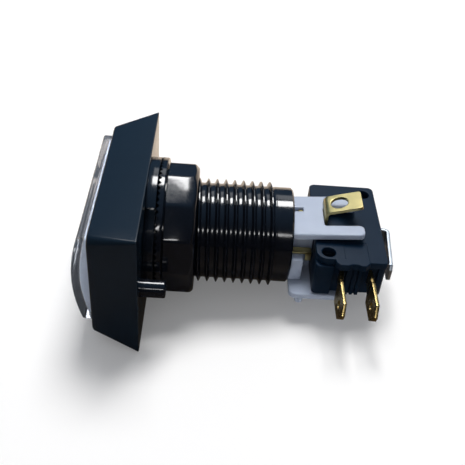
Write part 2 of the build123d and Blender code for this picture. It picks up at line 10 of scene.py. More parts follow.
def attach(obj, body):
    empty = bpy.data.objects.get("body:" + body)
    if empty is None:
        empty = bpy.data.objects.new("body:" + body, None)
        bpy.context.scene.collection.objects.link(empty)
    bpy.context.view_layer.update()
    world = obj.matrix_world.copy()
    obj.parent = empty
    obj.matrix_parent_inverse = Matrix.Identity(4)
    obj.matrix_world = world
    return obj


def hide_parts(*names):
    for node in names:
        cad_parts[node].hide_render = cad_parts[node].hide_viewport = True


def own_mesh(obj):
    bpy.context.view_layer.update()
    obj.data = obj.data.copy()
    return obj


# Looks of the illuminated arcade push button. Sizes are in millimetres, in the part's own frame:
# the origin is the middle of the bezel's rear face, +Z runs towards the cap, X is the short side
# of the bezel (up in the photograph) and Y its long side. MM turns them into metres.
MM = 0.001

# Bezel: width, length and corner radius of its rear, its front and its window
BEZEL_REAR = (33.0, 50.0, 0.6)
BEZEL_FRONT = (27.8, 44.4, 2.2)
BEZEL_WINDOW = (25.6, 40.4, 1.6)
BEZEL_DEPTH = 10.7
BEZEL_FLOOR = 1.6
BEZEL_EDGE = 0.5
BEZEL_REAR_EDGE = 0.25
WINDOW_EDGE = 0.2

# Threaded barrel. The collar inside it has a front, a rear and a radius.
BORE = 9.8
ROOT = 11.2
CREST = 12.2
PITCH = 2.07
BARREL_END = -33.2
BARREL_CHAMFER = 0.4
THREAD_FRONT = -1.9
THREAD_REAR = -29.0
THREAD_PHASE = -28.06
RIDGE_WIDTH = 1.1
RIDGE_FLAT = 0.2
ROOT_HOLLOW = 0.05
COLLAR = (-13.0, -16.0, 8.35)

# Peg
PEG_RADIUS = 1.95
PEG_LENGTH = 5.6
PEG_END = 0.4
PEG_Y = -20.8

# Lock ring and nut. The notch has a depth, half a width and a place in degrees.
FLANGE = 16.5
RING_BORE = 12.5
RING_REAR = -2.35
RING_EDGE = 0.2
NOTCH = (1.7, 2.4, -44.5)
FLANGE_REAR = -4.0
NUT_REAR = -11.15
NUT_BORE = 12.3
NUT_NECK = 14.4
NUT_CORNER = 15.5
NUT_CHAMFER = 1.1
NUT_SIDES = 12
NUT_TURN = -1.5
TEETH = 72
TOOTH_DEPTH = 0.65
TOOTH_LENGTH = 2.6

# Cap and the white insert under it: width and length
CAP = (24.8, 39.6)
INSERT = (22.0, 36.8)
CAP_LOW = 6.6
CAP_APEX = 14.9
CROWN = 39.44
INSERT_GAP = 1.75

# Microswitch. A blade's hole has a distance from the tip and a radius.
SWITCH_Y = -0.1
SWITCH_Z = -46.25
SWITCH = (28.2, 15.9)
SWITCH_NEAR = SWITCH_Y - SWITCH[0] / 2
SWITCH_FAR = SWITCH_Y + SWITCH[0] / 2
SWITCH_FRONT = SWITCH_Z + SWITCH[1] / 2
SWITCH_REAR = SWITCH_Z - SWITCH[1] / 2
SWITCH_TOP = 5.15
COVER_LOW = 3.4
COVER_SEAM = 0.02
HOLE_REACH = (11.1, 5.15)
HOLE_RADIUS = 1.55
BLADE_HALF = 2.375
BLADE_THICKNESS = 0.8
BLADE_REACH = 12.1
BLADE_HOLE = (4.0, 0.85)
CLOSED_Z = -43.9
OPEN_Z = -50.8
OPEN_SHELF_Z = -47.45
COMMON_Y = 1.2
COMMON_Z = -56.8
COMMON_TOP = -48.15
COMMON_TILT = 5.0
COMMON_LENGTH = 13.4

# Lamp holder. Plug and socket have a radius and a front, the notch half a width and a floor.
PLATE = (5.2, 6.7)
SLEEVE_REAR = -40.6
SLEEVE_SIDES = (-7.9, 6.5)
SLEEVE_TILT = 4.0
FINGERS = (3.5, 4.6)
FINGER_ENDS = (-49.5, -48.5)
TRAY_HALF = 14.6
TRAY_REAR = -44.8
PLUG = (9.7, -28.5)
PLUG_NOTCH = (2.5, 7.0)
SOCKET = (5.7, -22.0)
LAMP_RECESS = (4.4, 9.4)

# Lamp terminals: the tab's corner in X and Z, its length from there and its hole
TAB_Y = 0.7
TAB_HALF = 3.1
TAB_TILT = 16.5
TAB_CORNER = (8.786, -41.0)
TAB_LENGTH = 8.264
TAB_HOLE = (3.064, 2.0)
TAB_ROOT_X = 7.25

# Light and surroundings
STAGE_UP = (0.99534, 0.0, 0.09645)
STAGE_POINT = (-16.55, 0.0, 0.0)
STAGE_SIZE = 3.0
STAGE_GLOW = 0.06
STAGE_STRENGTH = 2.0
SHEET_COLOUR = (0.88, 0.87, 0.86)
# The table seen in reflections: painted shade at its near side, its own tan at its far side,
# blended over a span of Y
TABLE_NEAR_PAINTED_SHADE = (0.07, 0.055, 0.04)
TABLE_FAR = (0.85, 0.70, 0.56)
TABLE_SHADE_SPAN = (-0.03, 0.06)
ROOM_LIGHT = (0.30, 0.31, 0.33)
ROOM_SEEN = (0.10, 0.20, 0.34)
ROOM_DARK = (0.012, 0.013, 0.016)
ROOM_BRIGHT_SIDE = (0.89, 0.46, 0.0)
ROOM_FADE = (0.2, 0.9)
SOFTBOX_DISTANCE = 0.6
SOFTBOX_TARGET = (0, 0, -20)
# name, direction, size in metres, watts, lights matt surfaces, shows in glossy ones
SOFTBOXES = (
    ("softbox_top", (0.93, 0.36, -0.03), (0.26, 0.26), 3.5, True, False),
    ("softbox_fill", (0.45, -0.88, 0.1), (0.3, 0.3), 0.2, True, False),
    ("softbox_behind", (0.878, 0.479, -0.034), (0.17, 0.19), 2.4, False, True),
    ("softbox_above", (0.643, 0.766, -0.034), (0.17, 0.18), 0.15, False, True),
    ("softbox_front", (0.618, -0.786, -0.03), (0.05, 0.13), 0.3, False, True),
    ("softbox_corner", (0.767, 0.433, 0.475), (0.1, 0.1), 0.25, False, True),
)

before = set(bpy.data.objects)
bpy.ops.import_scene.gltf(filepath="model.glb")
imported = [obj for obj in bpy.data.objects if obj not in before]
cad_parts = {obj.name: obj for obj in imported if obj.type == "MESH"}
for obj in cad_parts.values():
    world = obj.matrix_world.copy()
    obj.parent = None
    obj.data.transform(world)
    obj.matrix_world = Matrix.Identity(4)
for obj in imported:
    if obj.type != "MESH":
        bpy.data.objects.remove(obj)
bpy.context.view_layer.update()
scene = bpy.context.scene


# Outlines

def outline(corners, radii, steps=6, closed=True):
    """Closed loop, or open path, whose corners are rounded by arcs that touch both sides.

    Each arc's centre lies on the corner's bisector at radius / sin(half the corner's angle), and
    the arc's points are weighted sums of its two end points as seen from that centre."""
    corner = np.array(corners, float)
    first_point, last_point = corner[:1], corner[-1:]
    back = np.roll(corner, 1, 0) - corner
    ahead = np.roll(corner, -1, 0) - corner
    if not closed:
        corner, back, ahead = corner[1:-1], back[1:-1], ahead[1:-1]
    radius = np.broadcast_to(np.asarray(radii, float), len(corner))[:, None]
    back /= np.linalg.norm(back, axis=1, keepdims=True)
    ahead /= np.linalg.norm(ahead, axis=1, keepdims=True)
    half = np.arccos(np.clip((back * ahead).sum(1, keepdims=True), -1, 1)) / 2
    middle = back + ahead
    middle /= np.linalg.norm(middle, axis=1, keepdims=True)
    centre = corner + middle * radius / np.sin(half)
    first = (corner + back * radius / np.tan(half) - centre)[:, None]
    last = (corner + ahead * radius / np.tan(half) - centre)[:, None]
    turn = (pi - 2 * half)[:, None]
    share = np.linspace(0, 1, steps)[None, :, None]
    arc = (first * np.sin((1 - share) * turn) + last * np.sin(share * turn)) / np.sin(turn)
    loop = (centre[:, None] + arc).reshape(-1, 2)
    return loop if closed else np.concatenate([first_point, loop, last_point])


def shaped(rows, steps):
    """A closed loop from rows that give a corner's two places and its radius."""
    return outline([row[:2] for row in rows], [row[2] for row in rows], steps)


def rectangle(width, length, radius, sides=(1, 1), steps=8):
    """Rounded rectangle, anticlockwise from its +X +Y corner, with extra points along its sides.

    Width is along the first axis. sides gives the number of parts of the short and long sides."""
    x, y = width / 2, length / 2
    loop = outline([(x, y), (-x, y), (-x, -y), (x, -y)], radius, steps).reshape(4, steps, 2)
    parts = []
    for index, count in enumerate(sides * 2):
        start, end = loop[index, -1], loop[(index + 1) % 4, 0]
        share = np.arange(1, count)[:, None] / count
        parts += [loop[index], start + (end - start) * share]
    return np.concatenate(parts)


def circle(radius, count=64, centre=(0.0, 0.0)):
    """Loop of equally spaced points round a centre, anticlockwise."""
    angle = np.arange(count) * 2 * pi / count
    return np.stack([centre[0] + radius * np.cos(angle), centre[1] + radius * np.sin(angle)], 1)


def inset(loop, distance):
    """A closed flat loop moved to its left by a distance, each point along its bisector."""
    ahead = np.roll(loop, -1, 0) - loop
    ahead /= np.maximum(np.linalg.norm(ahead, axis=1, keepdims=True), 1e-9)
    left = np.stack([-ahead[:, 1], ahead[:, 0]], 1)
    before = np.roll(left, 1, 0)
    return loop + distance * (left + before) / (1 + (left * before).sum(1, keepdims=True))


def refined(loop, step):
    """A loop with more points along its long sides."""
    parts = []
    for start, end in zip(loop, np.roll(loop, -1, 0)):
        count = max(1, int(np.ceil(np.linalg.norm(end - start) / step)))
        parts.append(start + (end - start) * np.arange(count)[:, None] / count)
    return np.concatenate(parts)


def strip(path, thickness, bend):
    """Side outline of a bent strip: the rounded path moved half a thickness to each side."""
    middle = outline(path, bend, 6, closed=False)
    ahead = np.diff(middle, axis=0)
    ahead /= np.linalg.norm(ahead, axis=1, keepdims=True)
    left = np.stack([-ahead[:, 1], ahead[:, 0]], 1)
    before, after = np.concatenate([left[:1], left]), np.concatenate([left, left[-1:]])
    side = thickness / 2 * (before + after) / (1 + (before * after).sum(1, keepdims=True))
    return np.concatenate([middle - side, (middle + side)[::-1]])


def level(loop, z):
    """A flat loop lifted to a height, which may be one number or one for each point."""
    return np.column_stack([loop, np.broadcast_to(z, len(loop))])


def rounding(edge, steps):
    """Inset and drop of the points that round an edge, from its side to its face.

    At angle a of the quarter circle they are edge * (1 - cos a) and edge * (1 - sin a)."""
    angle = np.radians(np.linspace(0, 90, steps))
    return edge * (1 - np.cos(angle)), edge * (1 - np.sin(angle))


# Surfaces: each shape is a pair of points and faces

def stack(loops, ends="ring"):
    """Points and faces of a surface through loops with the same number of points.

    ends is "ring" where the last loop meets the first, "caps" for a flat face at each end and
    "open" where the end loops are points or lines that weld shut."""
    loops = np.asarray(loops, float)
    rows, count = loops.shape[:2]
    ids = np.arange(rows * count).reshape(rows, count)
    low, high = (ids, np.roll(ids, -1, 0)) if ends == "ring" else (ids[:-1], ids[1:])
    cells = np.stack([low, np.roll(low, -1, 1), np.roll(high, -1, 1), high], -1)
    faces = cells.reshape(-1, 4).tolist()
    if ends == "caps":
        faces += [ids[0][::-1].tolist(), ids[-1].tolist()]
    return loops.reshape(-1, 3), faces


def turned(profile, count=96, ends="ring"):
    """A profile of radius and height carried round the Z axis."""
    radius, height = np.array(profile, float).T[:, :, None]
    angle = np.arange(count) * 2 * pi / count
    height = np.broadcast_to(height, (len(height), count))
    return stack(np.stack([radius * np.cos(angle), radius * np.sin(angle), height], -1), ends)


def plate(loop, low, high, edge=0.15, holes=(), hold=0.03):
    """A flat plate: its outline and holes follow a rounded edge, and flat faces fill between them.

    One more loop, just inside the rounded edge, keeps the flat face flat."""
    move, drop = rounding(edge, 4)
    inside, below = np.append(move, edge + hold), np.append(drop, 0)
    shift = np.concatenate([inside[::-1], inside])
    height = np.concatenate([(low + below)[::-1], high - below])
    points, faces, rims, base = [], [], [], 0
    for contour, side in [(loop, 1)] + [(hole, -1) for hole in holes]:
        loops = [level(inset(contour, side * move), z) for move, z in zip(shift, height)]
        some, walls = stack(loops, "open")
        points.append(some)
        faces += [[base + i for i in face] for face in walls]
        rims.append((base, len(contour), len(some) - len(contour)))
        base += len(some)
    points = np.concatenate(points)
    for top in (False, True):
        ids = [np.arange(count) + start + (last if top else 0) for start, count, last in rims]
        flat = np.concatenate(ids)
        fill = tessellate_polygon([[Vector(p) for p in points[rim]] for rim in ids])
        faces += [flat[list(face)].tolist() for face in fill]
    return points, faces


def punched(loop, centre, radius, low, high, edge=0.12, rings=10):
    """A flat plate with one round hole, made of four-sided cells.

    At share k of a face each point is the weighted mean of its own point on the outline and the
    point of the hole on the same bearing from the hole's centre. Both rims are rounded."""
    ray = loop - centre
    ray /= np.linalg.norm(ray, axis=1, keepdims=True)
    rim, hole = inset(loop, edge), centre + (radius + edge) * ray
    face = [hole + (rim - hole) * share for share in np.linspace(0, 1, rings + 1)]
    arc = list(zip(*rounding(edge, 4)))[:-1]
    loops = [level(some, high) for some in face]
    loops += [level(inset(loop, move), high - drop) for move, drop in arc[::-1]]
    loops += [level(inset(loop, move), low + drop) for move, drop in arc]
    loops += [level(some, low) for some in face[::-1]]
    loops += [level(centre + (radius + move) * ray, low + drop) for move, drop in arc[::-1]]
    loops += [level(centre + (radius + move) * ray, high - drop) for move, drop in arc]
    return stack(loops)


def bent(shape, radius, angle):
    """A plate whose part below zero on its first axis is rolled down.

    The roll's centre lies one radius below. At arc length s before zero the turn is s / radius up
    to the full angle, and the rest is straight."""
    points, faces = shape
    along, across, height = points.T
    length = radius * angle
    turn = np.clip(-along, 0, length) / radius
    rest = np.clip(-along - length, 0, None)
    out = radius + height
    first = np.where(along > 0, along, -out * np.sin(turn) - rest * cos(angle))
    third = np.where(along > 0, height, out * np.cos(turn) - radius - rest * sin(angle))
    return np.stack([first, across, third], 1), faces


def slab(x, y, z, edge=0.1):
    """A block between two places on each axis, with rounded edges round its Z faces."""
    loop = outline([(x[1], y[1]), (x[0], y[1]), (x[0], y[0]), (x[1], y[0])], edge, 4)
    return plate(loop, *z, edge)


def set_in(shape, origin=(0, 0, 0), first=(1, 0, 0), second=(0, 1, 0)):
    """A shape's own axes turned to the given first and second directions, and moved."""
    points, faces = shape
    first, second = np.array(first, float), np.array(second, float)
    axes = np.stack([first, second, np.cross(first, second)])
    return points @ axes + np.array(origin, float), faces


def upright(shape):
    """A shape drawn in Y and Z with its thickness along X."""
    return set_in(shape, first=(0, 1, 0), second=(0, 0, 1))


def joined(*shapes):
    """Several shapes as one."""
    points, faces, base = [], [], 0
    for some, cells in shapes:
        points.append(some)
        faces += [[base + i for i in cell] for cell in cells]
        base += len(some)
    return np.concatenate(points), faces


def piece(name, shape, body, material, stands_for=(), crease=35):
    """A mesh object: points welded, faces turned outwards, creases kept above an angle."""
    points, faces = shape
    mesh = bpy.data.meshes.new(name)
    mesh.from_pydata((points * MM).tolist(), [], faces)
    work = bmesh.new()
    work.from_mesh(mesh)
    bmesh.ops.remove_doubles(work, verts=work.verts, dist=2e-6)
    bmesh.ops.recalc_face_normals(work, faces=work.faces)
    work.to_mesh(mesh)
    work.free()
    mesh.shade_smooth()
    mesh.set_sharp_from_angle(angle=radians(crease))
    mesh.materials.append(material)
    made = bpy.data.objects.new(name, mesh)
    scene.collection.objects.link(made)
    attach(made, body)
    if stands_for:
        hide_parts(*stands_for)
    return made


# Shader nodes

def ranged(nodes, links, source, start, end, low=0.0, high=1.0):
    """A value that runs from low to high while its source runs from start to end."""
    node = nodes.new("ShaderNodeMapRange")
    limits = {"From Min": start, "From Max": end, "To Min": low, "To Max": high}
    for key, value in limits.items():
        node.inputs[key].default_value = value
    links.new(source, node.inputs["Value"])
    return node.outputs["Result"]


def axis_value(nodes, links, source, axis):
    """One coordinate of a place."""
    parts = nodes.new("ShaderNodeSeparateXYZ")
    links.new(source, parts.inputs["Vector"])
    return parts.outputs[axis]


def ray_share(nodes, links, *kinds):
    """One where the ray is of one of the given kinds, and zero elsewhere."""
    path = nodes.new("ShaderNodeLightPath")
    result = path.outputs[kinds[0]]
    for kind in kinds[1:]:
        either = nodes.new("ShaderNodeMath")
        either.operation = "MAXIMUM"
        links.new(result, either.inputs[0])
        links.new(path.outputs[kind], either.inputs[1])
        result = either.outputs[0]
    return result


def mixed(nodes, links, kind, share, low, high):
    """A mix node between two colours or two shaders."""
    blend = nodes.new(kind)
    sockets = blend.inputs[1:3]
    if kind == "ShaderNodeMix":
        blend.data_type = "RGBA"
        sockets = blend.inputs[6:8]
    links.new(share, blend.inputs[0])
    for socket, value in zip(sockets, (low, high)):
        if isinstance(value, tuple):
            socket.default_value = (*value, 1)
        else:
            links.new(value, socket)
    return next(out for out in blend.outputs if out.enabled)


def finish(name, colour, roughness, grain=0.0, grain_size=0.3, tone=0.0, tone_size=4.0,
           streak=(1, 1, 1), polished=None, **sockets):
    """Shader with fine grain in its bump, and slow changes in its tone and roughness.

    grain is the bump's depth and grain_size its width in millimetres; tone is the share by which
    the colour and the roughness drift over tone_size. streak stretches the grain along an axis.
    polished is the roughness of the face at height zero, the side that the panel hides."""
    material = bpy.data.materials.new(name)
    material.use_nodes = True
    nodes, links = material.node_tree.nodes, material.node_tree.links
    shader = nodes["Principled BSDF"]
    for key, value in {"Base Color": (*colour, 1), "Roughness": roughness, **sockets}.items():
        shader.inputs[key].default_value = value
    place = nodes.new("ShaderNodeTexCoord").outputs["Object"]

    def noise(size, detail, stretch=(1, 1, 1)):
        """Noise whose cells have a size in millimetres."""
        mapping = nodes.new("ShaderNodeMapping")
        mapping.inputs["Scale"].default_value = stretch
        links.new(place, mapping.inputs["Vector"])
        texture = nodes.new("ShaderNodeTexNoise")
        texture.inputs["Scale"].default_value = 1 / (size * MM)
        texture.inputs["Detail"].default_value = detail
        links.new(mapping.outputs["Vector"], texture.inputs["Vector"])
        return texture.outputs["Fac"]

    if tone:
        slow = noise(tone_size, 3.0)
        middle = (0.3, 0.7)
        rough = (roughness * (1 - tone), min(1, roughness * (1 + tone)))
        dark = tuple(c * (1 - tone / 2) for c in colour)
        pale = tuple(min(1, c * (1 + tone / 2)) for c in colour)
        links.new(ranged(nodes, links, slow, *middle, *rough), shader.inputs["Roughness"])
        share = ranged(nodes, links, slow, *middle)
        links.new(mixed(nodes, links, "ShaderNodeMix", share, dark, pale),
                  shader.inputs["Base Color"])
    if polished:
        height = axis_value(nodes, links, place, "Z")
        rear = ranged(nodes, links, height, 0.02 * MM, 0.2 * MM, polished, roughness)
        links.new(rear, shader.inputs["Roughness"])
    if grain:
        bump = nodes.new("ShaderNodeBump")
        bump.inputs["Strength"].default_value = 1.0
        bump.inputs["Distance"].default_value = grain * MM
        links.new(noise(grain_size, 2.0, streak), bump.inputs["Height"])
        links.new(bump.outputs["Normal"], shader.inputs["Normal"])
    return material


# Finishes

bezel_black = finish("satin_black_bezel", (0.004, 0.010, 0.018), 0.24,
                     grain=0.006, grain_size=0.35, tone=0.12, polished=0.1)
barrel_black = finish("glossy_black_barrel", (0.004, 0.005, 0.008), 0.13,
                      grain=0.006, grain_size=0.7, tone=0.15)
nut_black = finish("glossy_black_nut", (0.004, 0.005, 0.008), 0.11,
                   grain=0.03, grain_size=4.0, tone=0.15)
ring_black = finish("satin_black_ring", (0.004, 0.006, 0.010), 0.13,
                    grain=0.005, grain_size=0.6, tone=0.12)
clear_cap = finish("clear_polished_cap", (0.74, 0.79, 0.87), 0.03,
                   grain=0.0008, grain_size=6.0, tone=0.02,
                   **{"Transmission Weight": 0.93, "IOR": 1.28})
diffuser_white = finish("white_diffuser", (0.90, 0.91, 0.93), 0.5,
                        grain=0.002, grain_size=0.5, tone=0.02)
carrier_white = finish("white_carrier", (0.80, 0.81, 0.83), 0.45,
                       grain=0.003, grain_size=0.5, tone=0.03)
nylon_white = finish("milky_nylon", (0.37, 0.42, 0.52), 0.30,
                     grain=0.004, grain_size=0.7, tone=0.05,
                     **{"Subsurface Weight": 0.35, "Subsurface Scale": 0.8 * MM,
                        "Subsurface Radius": (1, 1, 1)})
brass = finish("punched_brass", (0.50, 0.42, 0.19), 0.34,
               grain=0.002, grain_size=0.25, tone=0.15, tone_size=2.0,
               streak=(0.1, 1, 1), Metallic=1.0)
# Brass darkened as painted shade, for the blades whose faces lie in shade
painted_shade_brass = finish("brass_painted_shade", (0.44, 0.32, 0.13), 0.28,
                     grain=0.002, grain_size=0.25, tone=0.15, tone_size=2.0, Metallic=1.0)
tinned = finish("tinned_strip", (0.54, 0.57, 0.60), 0.45,
                grain=0.002, grain_size=0.3, tone=0.12, tone_size=2.0,
                streak=(1, 0.1, 1), Metallic=1.0)
bronze = finish("bronze_leaf", (0.76, 0.50, 0.28), 0.28,
                grain=0.001, grain_size=0.2, tone=0.1, Metallic=1.0)
silver = finish("silver_contact", (0.86, 0.85, 0.82), 0.25,
                grain=0.001, grain_size=0.2, tone=0.1, Metallic=1.0)
wire = finish("spring_wire", (0.60, 0.60, 0.61), 0.28,
              grain=0.001, grain_size=0.15, tone=0.1, Metallic=1.0)
switch_black = finish("satin_black_switch", (0.003, 0.012, 0.027), 0.40,
                      grain=0.005, grain_size=0.3, tone=0.1,
                      **{"Specular IOR Level": 0.13})
pin_black = finish("smooth_black_pin", (0.03, 0.03, 0.034), 0.25,
                   grain=0.001, grain_size=0.3, tone=0.1)
lamp_white = finish("white_lamp_base", (0.83, 0.83, 0.80), 0.4,
                    grain=0.002, grain_size=0.3, tone=0.05)
lamp_clear = finish("clear_lamp_dome", (0.95, 0.97, 1.0), 0.05,
                    grain=0.001, grain_size=2.0, tone=0.02,
                    **{"Transmission Weight": 1.0, "IOR": 1.49})

node_finishes = (
    (bezel_black, ["housing"]),
    (ring_black, ["lock_ring"]),
    (nut_black, ["mounting_nut"]),
    (clear_cap, ["lens_cap"]),
    (diffuser_white, ["diffuser"]),
    (carrier_white, ["plunger"]),
    (wire, ["return_spring"]),
    (nylon_white, ["lamp_holder"]),
    (brass, ["lamp_terminal_upper", "lamp_terminal_lower", "lamp_link"]),
    (painted_shade_brass, ["closed_terminal", "open_terminal"]),
    (tinned, ["common_terminal", "lamp_lead_upper", "lamp_lead_lower"]),
    (lamp_white, ["lamp_base"]),
    (lamp_clear, ["lamp_dome"]),
    (switch_black, ["switch_case", "switch_cover"]),
    (pin_black, ["switch_plunger"]),
    (bronze, ["moving_blade", "snap_spring"]),
    (silver, ["moving_contact_upper", "moving_contact_lower", "closed_contact", "open_contact"]),
)
for material, names in node_finishes:
    for name in names:
        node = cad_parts[name]
        node.data.materials.clear()
        node.data.materials.append(material)


# Bezel, barrel and peg

def bezel_frame():
    """Loops of a rounded rectangle whose size follows the drafted side.

    At height z the outline's width, length and corner radius are the front ones plus their
    difference to the rear ones times (depth - z) / depth, less twice the edge's inset."""
    sides = (8, 12)

    def outside(z, inside):
        """The outline at a height, drawn in by an inset."""
        grow = (BEZEL_DEPTH - z) / BEZEL_DEPTH
        width, length, corner = [front + (rear - front) * grow
                                 for front, rear in zip(BEZEL_FRONT, BEZEL_REAR)]
        size = (width - 2 * inside, length - 2 * inside)
        return level(rectangle(*size, corner - inside / 2, sides), z)

    def window(z, outward):
        """The window at a height, widened by an offset."""
        width, length, corner = BEZEL_WINDOW
        size = (width + 2 * outward, length + 2 * outward)
        return level(rectangle(*size, corner + outward, sides), z)

    reference = rectangle(*BEZEL_REAR, sides)
    bearing = np.arctan2(reference[:, 1], reference[:, 0])
    bore = BORE * np.stack([np.cos(bearing), np.sin(bearing)], 1)
    steps = 6
    loops = [level(bore, 0), level(bore, BEZEL_FLOOR), window(BEZEL_FLOOR, 0)]
    loops += [window(BEZEL_DEPTH - drop, move) for move, drop in zip(*rounding(WINDOW_EDGE, steps))]
    loops += [outside(BEZEL_DEPTH - move, drop) for move, drop in zip(*rounding(BEZEL_EDGE, steps))]
    loops += [outside(drop, move) for move, drop in zip(*rounding(BEZEL_REAR_EDGE, steps))]
    return stack(loops)


def threaded_barrel():
    """A thread profile one pitch long, carried along a right-handed helix.

    At turn t and share k of the pitch the height is start + pitch * (t + k), cut off at the
    barrel's ends, and the radius is the root plus the ridge's height, which fades in over a
    quarter of a pitch at each end. Between the ridges the root is hollowed by a parabola. The
    bore side is a profile turned round the axis."""
    per_turn = 180
    behind = np.array([0.0483, 0.15, 0.24, 0.2657, 0.31, 0.37, 0.44])
    shares = np.concatenate([[-0.5], -behind[::-1], [0.0], behind])
    low, high = BARREL_END + BARREL_CHAMFER, 0.0
    turns = int((high - low) / PITCH) + 3
    steps = np.arange(turns * per_turn)[:, None]
    start = THREAD_PHASE - PITCH * round((THREAD_PHASE - low) / PITCH + 1)
    height = start + PITCH * (steps / per_turn + shares)
    from_crest = np.abs(shares) * PITCH
    flank = RIDGE_WIDTH / 2 - RIDGE_FLAT / 2
    ridge = np.clip((RIDGE_WIDTH / 2 - from_crest) / flank, 0, 1)
    from_root = (0.5 - np.abs(shares)) * PITCH / (PITCH / 2 - RIDGE_WIDTH / 2)
    hollow = ROOT_HOLLOW * np.clip(1 - from_root ** 2, 0, 1)
    crest = height - PITCH * shares
    fade = (np.clip((crest - THREAD_REAR) / PITCH * 4 + 1, 0, 1)
            * np.clip((THREAD_FRONT - crest) / PITCH * 4 + 1, 0, 1))
    radius = ROOT + ((CREST - ROOT) * ridge - hollow) * fade
    angle = np.broadcast_to(2 * pi * steps / per_turn, radius.shape)
    points = np.stack([radius * np.cos(angle), radius * np.sin(angle),
                       np.clip(height, low, high)], -1)
    ids = np.arange(radius.size).reshape(radius.shape)
    wide = np.concatenate([ids[:-per_turn], ids[per_turn:, :1]], 1)
    cells = np.stack([wide[:-1, :-1], wide[:-1, 1:], wide[1:, 1:], wide[1:, :-1]], -1)
    faces = cells.reshape(-1, 4)
    points = points.reshape(-1, 3)
    cut_off = np.ptp(points[:, 2][faces], axis=1) < 1e-9
    front, rear, hole = COLLAR
    ease = 0.2
    profile = [(ROOT, low), (ROOT - BARREL_CHAMFER, BARREL_END), (BORE + ease, BARREL_END),
               (BORE, BARREL_END + ease), (BORE, rear), (hole, rear), (hole, front),
               (BORE, front), (BORE, high), (ROOT, high)]
    return joined((points, faces[~cut_off].tolist()), turned(profile, per_turn, "open"))


def locating_peg():
    """A round peg turned about its own axis, with a rounded free end."""
    pole = 0.001
    end = zip(*rounding(PEG_END, 5))
    profile = [(pole, 0), (PEG_RADIUS, 0)]
    profile += [(PEG_RADIUS - move, -PEG_LENGTH + drop) for move, drop in end]
    profile += [(pole, -PEG_LENGTH)]
    return set_in(turned(profile, 32), origin=(0, PEG_Y, 0))


piece("bezel_frame", bezel_frame(), "body", bezel_black, ["housing"])
piece("threaded_barrel", threaded_barrel(), "body", barrel_black)
piece("locating_peg", locating_peg(), "body", barrel_black)


# Ring and nut

def lock_ring():
    """A flat ring plate whose outline steps in at the notch."""
    depth, half, place = NOTCH
    angle = radians(place)
    spread = np.arcsin(half / FLANGE)
    around = np.linspace(spread, 2 * pi - spread, 200) + angle
    rim = FLANGE * np.stack([np.cos(around), np.sin(around)], 1)
    along, across = np.array([cos(angle), sin(angle)]), np.array([-sin(angle), cos(angle)])
    floor = (FLANGE - depth) * along
    loop = np.concatenate([rim, [floor - half * across, floor + half * across]])
    return plate(loop, RING_REAR, 0, RING_EDGE, [circle(RING_BORE, 96)])


def mounting_nut():
    """Loops round the axis, from the bore out over the toothed flange, the neck and the body.

    The teeth lower the flange's face by the depth times a triangle wave of the angle. The body's
    radius is a rounded twelve-gon: the norm of high power over the distances to its sides. Each
    point of its rear edge lies where that radius meets the 45 degree cone of the chamfer."""
    per_tooth = 8
    count = TEETH * per_tooth
    turn = radians(NUT_TURN)
    angle = np.arange(count) * 2 * pi / count + turn
    wave = 1 - np.abs((np.arange(count) % per_tooth) / per_tooth * 2 - 1)
    gap = RING_REAR - TOOTH_DEPTH * np.clip(wave * 1.15 - 0.05, 0, 1)
    power = 160.0
    inner = NUT_CORNER * cos(pi / NUT_SIDES)
    side = np.arange(NUT_SIDES) * 2 * pi / NUT_SIDES + pi / NUT_SIDES + turn
    facing = np.clip(np.cos(angle[:, None] - side), 0, None)
    many = (facing ** power).sum(1) ** (-1 / power) * inner
    cone = NUT_CORNER - NUT_CHAMFER
    meet = NUT_REAR + many - cone
    top = FLANGE_REAR - 0.15
    tooth_root = FLANGE - TOOTH_LENGTH
    rows = [
        # bore's entry and the toothed face
        (NUT_BORE, RING_REAR - 0.3), (NUT_BORE + 0.3, RING_REAR), (tooth_root, RING_REAR),
        (tooth_root + 0.02, gap), (FLANGE - 0.15, gap), (FLANGE, gap - 0.15),
        # flange's rim and rear, the neck and the body
        (FLANGE, FLANGE_REAR + 0.25), (FLANGE - 0.07, FLANGE_REAR + 0.07),
        (FLANGE - 0.25, FLANGE_REAR), (NUT_NECK, FLANGE_REAR), (NUT_NECK, top),
        (many - 0.2, top), (many, top - 0.2),
        # the body's rear edge, its chamfer and the bore's exit
        (many, meet + 0.12), (many - 0.05, meet), (many - 0.14, meet - 0.12),
        (cone + 0.1, NUT_REAR + 0.1), (cone - 0.1, NUT_REAR),
        (NUT_BORE + 0.3, NUT_REAR), (NUT_BORE, NUT_REAR + 0.3),
    ]
    return stack([level(np.stack([radius * np.cos(angle), radius * np.sin(angle)], 1), z)
                  for radius, z in rows])


piece("lock_ring_flat", lock_ring(), "ring", ring_black, ["lock_ring"])
piece("ring_nut", mounting_nut(), "nut", nut_black, ["mounting_nut"])


# Cap and diffuser

def half_shell(size, radius, apex, crown, edge, sides):
    """Loops of a crowned face from its rim to its pole line.

    At inset d the loop is the outline less 2d, at the height
    apex - (crown - sqrt(crown^2 - x^2)), and the edge's quarter circle is taken off that height."""
    width, length = size
    move, drop = rounding(edge, 6)
    rest = [edge + 0.3, edge + 1, 2.5, *np.linspace(4, width / 2 - 0.001, 7)]
    loops = []
    for d, fall in zip([*move, *rest], [*drop, *[0.0] * len(rest)]):
        loop = rectangle(width - 2 * d, length - 2 * d, max(radius - d, 0.0005), sides)
        loops.append(level(loop, apex - crown + np.sqrt(crown ** 2 - loop[:, 0] ** 2) - fall))
    return loops


def crowned_shell(size, corner, low, apex, crown, wall, top, edge):
    """A shell with a top that is part of a cylinder along Y, from its inner pole line round its
    rim to its outer one."""
    sides = (14, 10)
    inside = (size[0] - 2 * wall, size[1] - 2 * wall)
    outer = half_shell(size, corner, apex, crown, edge, sides)
    inner = half_shell(inside, corner / 2, apex - top, crown - top, 0.2, sides)
    rim = [level(rectangle(*inside, corner / 2, sides), low),
           level(rectangle(*size, corner, sides), low)]
    return stack(inner[::-1] + rim + outer, "open")


